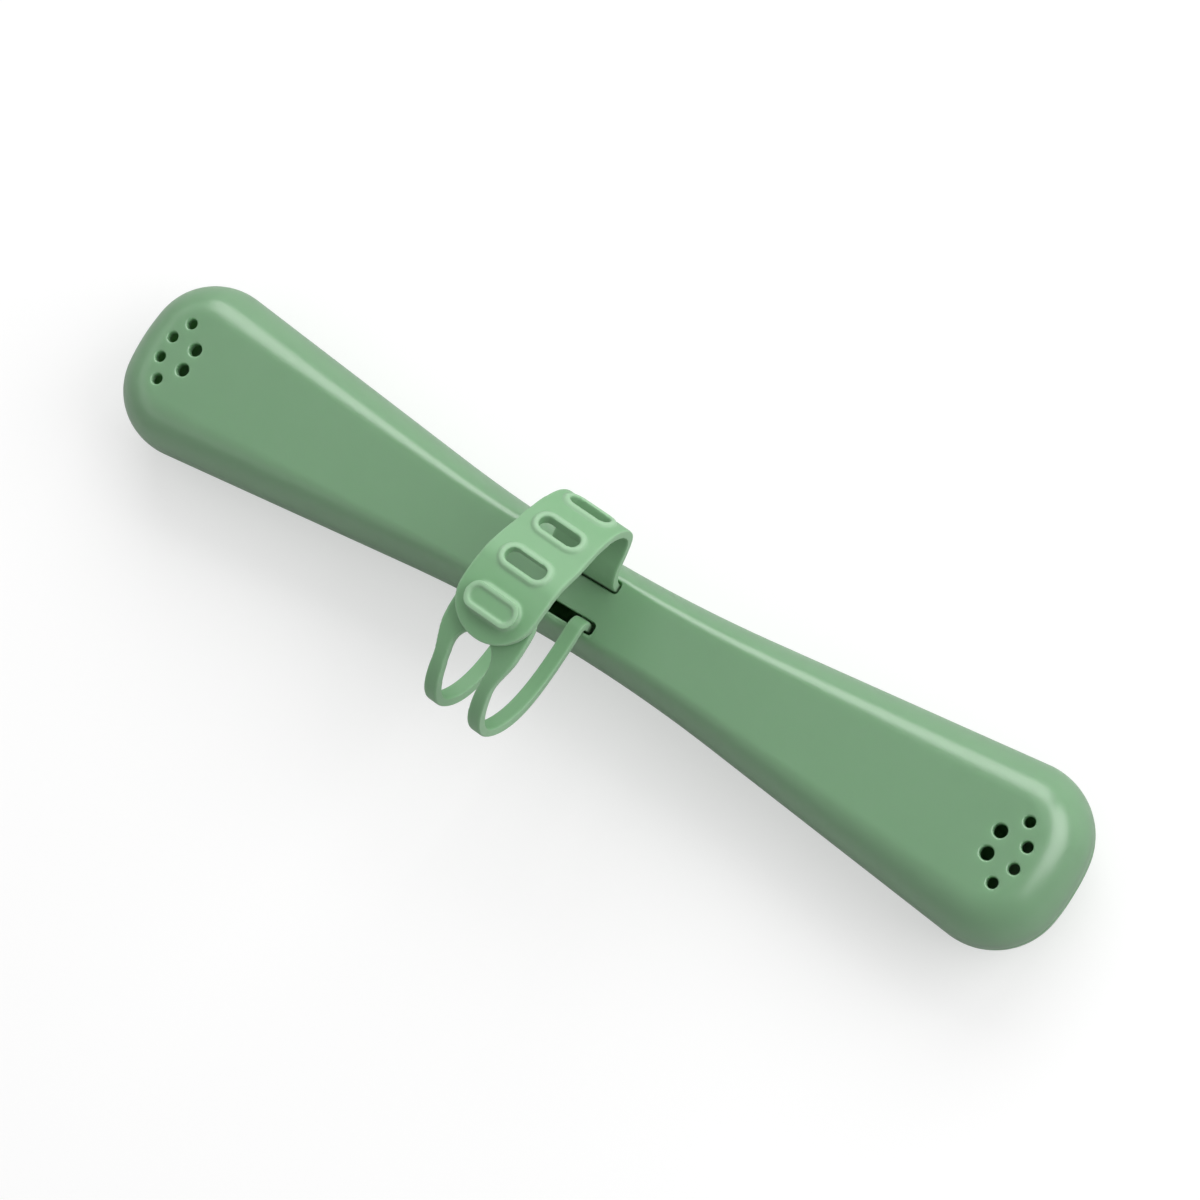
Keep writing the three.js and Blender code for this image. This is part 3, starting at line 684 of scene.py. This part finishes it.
def strap_route():
    bend_top = UNDERPASS_Z + STRAP_BEND_RADIUS
    radius = STRAP_BEND_RADIUS
    outer_bend_x = -SLOT_CENTRE - radius
    under = [
        straight((0, UNDERPASS_Z), (-UNDERPASS_END, UNDERPASS_Z)),
        sweep(-UNDERPASS_END, bend_top, radius, radius, -90, -180),
        straight((-SLOT_CENTRE, bend_top), (-SLOT_CENTRE, CASE_HEIGHT)),
        sweep(outer_bend_x, CASE_HEIGHT, radius, radius, 0, 90),
        straight((outer_bend_x, LOOP_FLOOR), (LOOP_OFFSET, LOOP_FLOOR)),
    ]
    leg_low = sweep(LOOP_OFFSET, LOOP_Z, LOOP_A, LOOP_WIDEST_RISE, -90, -180)
    leg_high = sweep(LOOP_OFFSET, LOOP_Z, LOOP_A, LOOP_CROWN_RISE, 180, 90)
    band_side = sweep(LOOP_OFFSET, LOOP_Z, LOOP_A, LOOP_CROWN_RISE, 90, 0)
    riser_arc = sweep(LOOP_OFFSET, LOOP_Z, LOOP_A, LOOP_WIDEST_RISE, 0, RISER_ANGLE)
    angle = math.radians(RISER_ANGLE)
    cos, sin = math.cos(angle), math.sin(angle)
    top = np.array([LOOP_OFFSET + LOOP_A * cos, LOOP_Z + LOOP_WIDEST_RISE * sin])
    heading = np.array([LOOP_A * sin, -LOOP_WIDEST_RISE * cos])
    foot = np.array([SLOT_CENTRE, CASE_HEIGHT])
    home = [
        riser_curve(top, heading / np.linalg.norm(heading), foot),
        straight(foot, (SLOT_CENTRE, bend_top)),
        sweep(UNDERPASS_END, bend_top, radius, radius, 0, -90),
        straight((UNDERPASS_END, UNDERPASS_Z), (0, UNDERPASS_Z)),
    ]
    to_top = np.concatenate([*under, leg_low, leg_high, band_side[:1]])
    whole = np.concatenate([to_top, band_side[1:], riser_arc, *home, [(0, UNDERPASS_Z)]])
    leg_hinge = length_of(np.concatenate([*under, leg_low[:1]])) + LEG_HINGE_RUN
    return whole, leg_hinge, length_of(to_top) - PEG_BEFORE_TOP


ROUTE, LEG_HINGE, PEG = strap_route()
BAND_HINGE = PEG + (EYELET_COUNT - BAND_HINGE_BACK) * EYELET_PITCH
ROUTE_RUN = np.concatenate([[0], np.cumsum(np.linalg.norm(np.diff(ROUTE, axis=0), axis=1))])
ROUTE_HEADING = np.gradient(ROUTE, ROUTE_RUN, axis=0)
STRAP_LENGTH = ROUTE_RUN[-1]
TIP_HINGE = PEG + TIP_HINGE_TO_PEG
TIP_END = PEG - TIP_PAST_PEG
PLATE_END = PEG + PLATE_PAST_PEG
WINDOW_END = PEG - WINDOW_TO_PEG
LEG_OUTSIDE = WINDOW_WIDTH / 2 + LEG_WIDTH
BAND_LIFT = STRAP_THICKNESS + CLEARANCE
LIFT_START = PLATE_END + LIFT_PAST_PLATE


def on_route(flat):
    """Places of points of the flat strap: along it, across it and outwards from its middle."""
    s, v, t = flat.T
    place = np.column_stack([np.interp(s, ROUTE_RUN, ROUTE[:, axis]) for axis in (0, 1)])
    heading = np.column_stack([np.interp(s, ROUTE_RUN, ROUTE_HEADING[:, axis]) for axis in (0, 1)])
    heading /= np.linalg.norm(heading, axis=1)[:, None]
    y = place[:, 0] - t * heading[:, 1]
    z = place[:, 1] + t * heading[:, 0]
    turn = math.radians(LOOP_TURN) * smoothstep(z, LOOP_FLOOR, LOOP_Z)
    cos, sin = np.cos(turn), np.sin(turn)
    return np.column_stack([-v * cos - y * sin, y * cos - v * sin, z])


def over_plate(s):
    return BAND_LIFT * (1 - smoothstep(s, LIFT_START, LIFT_START + LIFT_RUN))


# Strap pieces, moulded flat and then bent along the route

def rounded_end(end, inwards, reach, half):
    angle = np.linspace(0, math.pi / 2, ROUND_SIDES // 2)
    return np.column_stack([end + inwards * reach * (1 - np.cos(angle)), half * np.sin(angle)])


def both_sides(edge):
    """A whole outline from the points of one long edge."""
    return np.concatenate([edge, edge[::-1] * [1, -1]])


def softened(piece):
    """One skin with soft edges, fine enough to bend."""
    remesh = piece.modifiers.new("skin", "REMESH")
    remesh.mode = "VOXEL"
    remesh.voxel_size = STRAP_VOXEL
    smooth = piece.modifiers.new("soften", "SMOOTH")
    smooth.iterations = STRAP_SOFTENING
    return made_real(piece)


def paint_edge_light(piece, raised_from):
    """Paints light onto the flat strap as a painted highlight: on its rounded edges and on the rims
    above a height.
    """
    mesh = piece.data
    place = np.array([vertex.co for vertex in mesh.vertices])
    facing = np.abs([vertex.normal.z for vertex in mesh.vertices])
    across = np.maximum(np.abs(place[:, 1]) - (EYELET_LENGTH - EYELET_WIDTH) / 2, 0)
    number = np.clip(np.round((place[:, 0] - PEG) / EYELET_PITCH), 0, EYELET_COUNT - 1)
    from_slot = np.hypot(place[:, 0] - PEG - number * EYELET_PITCH, across) - EYELET_WIDTH / 2
    # painted highlight where the surface turns away from the flat faces
    edge = 1 - smoothstep(facing, *EDGE_LIGHT_FACING)
    edge[(from_slot < SLOT_WALL) & (place[:, 2] < FACE + EYELET_RIM_HEIGHT)] = 0
    low, high = (raised_from + rise for rise in EDGE_LIGHT_RISE)
    edge = np.maximum(edge, smoothstep(place[:, 2], low, high))
    ends = np.array([link.vertices for link in mesh.edges])
    links = np.bincount(ends.ravel(), minlength=len(edge))
    for _ in range(EDGE_LIGHT_SPREAD):
        near = np.bincount(ends[:, 0], edge[ends[:, 1]], len(edge))
        near += np.bincount(ends[:, 1], edge[ends[:, 0]], len(edge))
        edge = (edge + near / links) / 2
    # stores the painted highlight as a point attribute
    layer = mesh.attributes.new("pale", "FLOAT", "POINT")
    layer.data.foreach_set("value", edge.astype(np.float32))
    return piece


def bent(piece, lift_of):
    flat = np.array([vertex.co for vertex in piece.data.vertices])
    flat[:, 2] += lift_of(flat[:, 0])
    piece.data.vertices.foreach_set("co", on_route(flat).astype(np.float32).ravel())
    piece.data.update()
    return piece


def window_edge():
    half = WINDOW_WIDTH / 2
    top_half = WINDOW_TOP_WIDTH / 2
    top_start = WINDOW_END - top_half
    run = np.linspace(WINDOW_START + half, top_start, WINDOW_STEPS)[1:-1]
    side = half + (top_half - half) * smoothstep(run, top_start - LEG_FLARE_RUN, top_start)
    return np.concatenate([
        rounded_end(WINDOW_START, 1, half, half),
        np.column_stack([run, side]),
        rounded_end(WINDOW_END, -1, top_half, top_half)[::-1],
    ])


def flat_legs():
    """Twin legs that widen into the plate with the peg."""
    run = np.linspace(0, PLATE_END - TIP_ROUND, LEG_STEPS, endpoint=False)
    root_half = (STRAP_WIDTH / 2 + LEG_OUTSIDE) / 2
    leg_half = root_half + (LEG_OUTSIDE - root_half) * smoothstep(run, 0, UNDERPASS_END)
    widened = smoothstep(run, WINDOW_END - LEG_FLARE_RUN, WINDOW_END)
    half = leg_half + (BUCKLE_WIDTH / 2 - leg_half) * widened
    end = rounded_end(PLATE_END, -1, TIP_ROUND, BUCKLE_WIDTH / 2)[::-1]
    edge = np.concatenate([np.column_stack([run, half]), end])
    legs = prism("strap_lower", both_sides(edge), (0, 0), -FACE, FACE)
    window = prism("window", both_sides(window_edge()), (0, 0), -FACE - OVERCUT, FACE + OVERCUT)
    combine(legs, [window], "DIFFERENCE")
    stem_top = FACE + BAND_LIFT + EYELET_RIM_HEIGHT + CLEARANCE
    head_top = stem_top + PEG_HEAD_HEIGHT
    slack = 2 * CLEARANCE
    neck = stadium(EYELET_LENGTH - slack, EYELET_WIDTH - slack)
    stem = prism("stem", neck, (PEG, 0), FACE - SINK, stem_top + SINK)
    head = prism("head", stadium(PEG_HEAD_LENGTH, PEG_HEAD_WIDTH), (PEG, 0), stem_top, head_top)
    combine(legs, [stem, head], "UNION")
    hollow = stadium(PEG_HEAD_LENGTH - 2 * PEG_BORDER, PEG_HEAD_WIDTH - 2 * PEG_BORDER)
    recess = prism("recess", hollow, (PEG, 0), head_top - PEG_RECESS, head_top + OVERCUT)
    return paint_edge_light(softened(combine(legs, [recess], "DIFFERENCE")), head_top - PEG_RECESS)


def flat_band():
    """The slotted band from its rounded tip back to the bridge."""
    wide = BUCKLE_WIDTH / 2
    run = np.linspace(TIP_END + TIP_ROUND, BAND_HINGE, BAND_STEPS)[1:]
    half = wide + (STRAP_WIDTH / 2 - wide) * smoothstep(run, PLATE_END, BAND_HINGE)
    root = [(STRAP_LENGTH, STRAP_WIDTH / 2)]
    end = rounded_end(TIP_END, 1, TIP_ROUND, wide)
    edge = np.concatenate([end, np.column_stack([run, half]), root])
    band = prism("strap_upper", both_sides(edge), (0, 0), -FACE, FACE)
    places = [PEG + number * EYELET_PITCH for number in range(EYELET_COUNT)]
    rim = stadium(EYELET_LENGTH + 2 * EYELET_RIM, EYELET_WIDTH + 2 * EYELET_RIM)
    rims = [prism("rim", rim, (s, 0), FACE - SINK, FACE + EYELET_RIM_HEIGHT) for s in places]
    combine(band, rims, "UNION")
    hole = stadium(EYELET_LENGTH, EYELET_WIDTH)
    holes = [prism("hole", hole, (s, 0), -FACE - OVERCUT, FACE + OVERCUT) for s in places]
    return paint_edge_light(softened(combine(band, holes, "DIFFERENCE")), FACE)


def cut_at(piece, s, keep_before):
    """Keeps one part of a flat piece, with a flat face at the cut."""
    made = bmesh.new()
    made.from_mesh(piece.data)
    geometry = made.verts[:] + made.edges[:] + made.faces[:]
    bisected = bmesh.ops.bisect_plane(
        made, geom=geometry, plane_co=(s, 0, 0), plane_no=(1, 0, 0),
        clear_outer=keep_before, clear_inner=not keep_before,
    )
    cut_edges = [part for part in bisected["geom_cut"] if isinstance(part, bmesh.types.BMEdge)]
    bmesh.ops.holes_fill(made, edges=cut_edges, sides=0)
    made.to_mesh(piece.data)
    made.free()
    return piece


def route_point(s):
    return on_route(np.array([[s, 0.0, 0.0]]))[0] * MM


def build_strap(material):
    lower = bent(flat_legs(), lambda s: 0 * s)
    upper = flat_band()
    tip = upper.copy()
    tip.data = upper.data.copy()
    tip.name = "strap_tip_soft"
    bpy.context.scene.collection.objects.link(tip)
    seam = TIP_HINGE
    bent(cut_at(upper, seam, keep_before=False), over_plate)
    bent(cut_at(tip, seam, keep_before=True), over_plate)
    for piece in (lower, upper, tip):
        finished(piece, material)
    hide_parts("strap_anchor", "strap_legs")
    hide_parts("strap_anchor", "strap_band")
    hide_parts("strap_tip")
    leg_root = Vector(route_point(LEG_HINGE))
    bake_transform(lower)
    band_root = Vector(route_point(BAND_HINGE))
    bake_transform(upper)
    route_point(seam)
    route_point(seam - 3)
    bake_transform(tip)


# Materials

def new_material(name):
    material = bpy.data.materials.new(name)
    material.use_nodes = True
    nodes = material.node_tree.nodes
    return material, nodes, material.node_tree.links, nodes["Principled BSDF"]


def noise(nodes, links, coordinates, scale, detail, stretch=(1, 1, 1)):
    mapping = nodes.new("ShaderNodeMapping")
    mapping.inputs["Scale"].default_value = stretch
    links.new(coordinates.outputs["Object"], mapping.inputs["Vector"])
    texture = nodes.new("ShaderNodeTexNoise")
    texture.inputs["Scale"].default_value = scale
    texture.inputs["Detail"].default_value = detail
    links.new(mapping.outputs["Vector"], texture.inputs["Vector"])
    return texture.outputs["Fac"]


def between(nodes, links, factor, low, high):
    """A value that runs from low to high with the factor."""
    spread = nodes.new("ShaderNodeMapRange")
    spread.inputs["To Min"].default_value = low
    spread.inputs["To Max"].default_value = high
    links.new(factor, spread.inputs["Value"])
    return spread.outputs["Result"]


def tinted(nodes, links, factor, first, second):
    mix = nodes.new("ShaderNodeMix")
    mix.data_type = "RGBA"
    mix.inputs["A"].default_value = (*first, 1)
    mix.inputs["B"].default_value = (*second, 1)
    links.new(factor, mix.inputs["Factor"])
    return mix.outputs["Result"]


def lifted(colour, factor):
    return tuple(factor * value for value in colour)


def let_light_in(shader, weight, radius, scale):
    shader.inputs["Subsurface Weight"].default_value = weight
    shader.inputs["Subsurface Radius"].default_value = radius
    shader.inputs["Subsurface Scale"].default_value = scale


def bump(nodes, links, height, distance, strength, normal=None):
    node = nodes.new("ShaderNodeBump")
    node.inputs["Distance"].default_value = distance
    node.inputs["Strength"].default_value = strength
    links.new(height, node.inputs["Height"])
    if normal:
        links.new(normal, node.inputs["Normal"])
    return node.outputs["Normal"]


def shell_plastic():
    """Satin moulded plastic: a fine spark-eroded grain and a faint cloudiness in the colour."""
    material, nodes, links, shader = new_material("sage_plastic")
    coordinates = nodes.new("ShaderNodeTexCoord")
    cloud = noise(nodes, links, coordinates, SHELL_CLOUD_SCALE, CLOUD_DETAIL)
    grain = noise(nodes, links, coordinates, SHELL_GRAIN_SCALE, GRAIN_DETAIL)
    colour = tinted(nodes, links, cloud, SHELL_GREEN, SHELL_GREEN_PALE)
    links.new(colour, shader.inputs["Base Color"])
    links.new(between(nodes, links, grain, *SHELL_ROUGHNESS), shader.inputs["Roughness"])
    shader.inputs["Specular IOR Level"].default_value = SHELL_SPECULAR
    flow = bump(nodes, links, cloud, *SHELL_CLOUD_BUMP)
    links.new(bump(nodes, links, grain, *SHELL_GRAIN_BUMP, flow), shader.inputs["Normal"])
    let_light_in(shader, *SHELL_SUBSURFACE)
    return material


def strap_silicone():
    """Soft silicone with a dry velvety surface, paler on its edges and raised tops by a painted
    highlight.
    """
    material, nodes, links, shader = new_material("sage_silicone")
    coordinates = nodes.new("ShaderNodeTexCoord")
    cloud = noise(nodes, links, coordinates, STRAP_CLOUD_SCALE, CLOUD_DETAIL)
    grain = noise(nodes, links, coordinates, STRAP_GRAIN_SCALE, GRAIN_DETAIL)
    # the painted highlight on the strap's edges and raised tops, read from the mesh attribute
    edge = nodes.new("ShaderNodeAttribute")
    edge.attribute_name = "pale"
    body = tinted(nodes, links, cloud, STRAP_GREEN, lifted(STRAP_GREEN, STRAP_CLOUD_LIFT))
    mix = nodes.new("ShaderNodeMix")
    mix.data_type = "RGBA"
    links.new(edge.outputs["Fac"], mix.inputs["Factor"])
    links.new(body, mix.inputs["A"])
    mix.inputs["B"].default_value = (*STRAP_EDGE_LIGHT_GREEN, 1)
    links.new(mix.outputs["Result"], shader.inputs["Base Color"])
    links.new(between(nodes, links, grain, *STRAP_ROUGHNESS), shader.inputs["Roughness"])
    links.new(bump(nodes, links, grain, *STRAP_GRAIN_BUMP), shader.inputs["Normal"])
    let_light_in(shader, *STRAP_SUBSURFACE)
    shader.inputs["Sheen Weight"].default_value = STRAP_SHEEN
    return material


def pin_steel():
    """Drawn steel with fine lines along the pin."""
    material, nodes, links, shader = new_material("drawn_steel")
    coordinates = nodes.new("ShaderNodeTexCoord")
    lines = noise(nodes, links, coordinates, PIN_LINE_SCALE, GRAIN_DETAIL, PIN_LINE_STRETCH)
    colour = tinted(nodes, links, lines, PIN_GREY, lifted(PIN_GREY, PIN_LINE_LIFT))
    links.new(colour, shader.inputs["Base Color"])
    links.new(between(nodes, links, lines, *PIN_ROUGHNESS), shader.inputs["Roughness"])
    links.new(bump(nodes, links, lines, *PIN_LINE_BUMP), shader.inputs["Normal"])
    shader.inputs["Metallic"].default_value = 1
    return material


# Floor, light and camera

def floor_material():
    """White paper that keeps the shadow; seen directly it is lifted to a clean white."""
    material, nodes, links, shader = new_material("white_paper")
    shader.inputs["Base Color"].default_value = (*FLOOR_WHITE, 1)
    shader.inputs["Roughness"].default_value = FLOOR_ROUGHNESS
    shader.inputs["Specular IOR Level"].default_value = 0.0
    path = nodes.new("ShaderNodeLightPath")
    glow = nodes.new("ShaderNodeMath")
    glow.operation = "MULTIPLY"
    glow.inputs[1].default_value = FLOOR_GLOW
    links.new(path.outputs["Is Camera Ray"], glow.inputs[0])
    shader.inputs["Emission Color"].default_value = (1, 1, 1, 1)
    links.new(glow.outputs["Value"], shader.inputs["Emission Strength"])
    return material


def build_floor():
    half = FLOOR_SIZE / 2
    corners = [(-half, -half, 0), (half, -half, 0), (half, half, 0), (-half, half, 0)]
    floor = mesh_object("floor", corners, [(0, 1, 2, 3)])
    floor.data.materials.append(floor_material())


def build_world():
    world = bpy.data.worlds.new("studio")
    world.use_nodes = True
    nodes = world.node_tree.nodes
    links = world.node_tree.links
    path = nodes.new("ShaderNodeLightPath")
    seen = nodes.new("ShaderNodeMix")
    seen.inputs["A"].default_value = WORLD_LIGHT
    seen.inputs["B"].default_value = BACKDROP_LIGHT
    links.new(path.outputs["Is Camera Ray"], seen.inputs["Factor"])
    links.new(seen.outputs["Result"], nodes["Background"].inputs["Strength"])
    nodes["Background"].inputs["Color"].default_value = (1, 1, 1, 1)
    bpy.context.scene.world = world


def soft_box(name, place, size, power):
    light = bpy.data.lights.new(name, "AREA")
    light.shape = "RECTANGLE"
    light.size, light.size_y = size
    light.energy = power
    lamp = bpy.data.objects.new(name, light)
    lamp.location = place
    lamp.rotation_euler = (-Vector(place)).to_track_quat("-Z", "Y").to_euler()
    bpy.context.scene.collection.objects.link(lamp)


def build_camera():
    view = Vector(CAMERA_VIEW).normalized()
    right = view.cross(Vector(CAMERA_UP)).normalized()
    up = right.cross(view)
    lens = bpy.data.cameras.new("photo_camera")
    lens.lens = CAMERA_LENS
    lens.sensor_width = CAMERA_SENSOR
    camera = bpy.data.objects.new("photo_camera", lens)
    turn = Matrix((right, up, -view)).transposed().to_4x4()
    camera.matrix_world = Matrix.Translation(Vector(CAMERA_PLACE) * MM) @ turn
    bpy.context.scene.collection.objects.link(camera)
    bpy.context.scene.camera = camera


def main():
    plastic = shell_plastic()
    build_base(plastic)
    build_pin(pin_steel())
    build_lid(plastic)
    build_strap(strap_silicone())
    build_floor()
    build_world()
    soft_box("key", KEY_PLACE, KEY_SIZE, KEY_POWER)
    soft_box("side", SIDE_PLACE, SIDE_SIZE, SIDE_POWER)
    soft_box("fill", FILL_PLACE, FILL_SIZE, FILL_POWER)
    build_camera()
    bpy.context.scene.view_settings.view_transform = "Standard"


main()
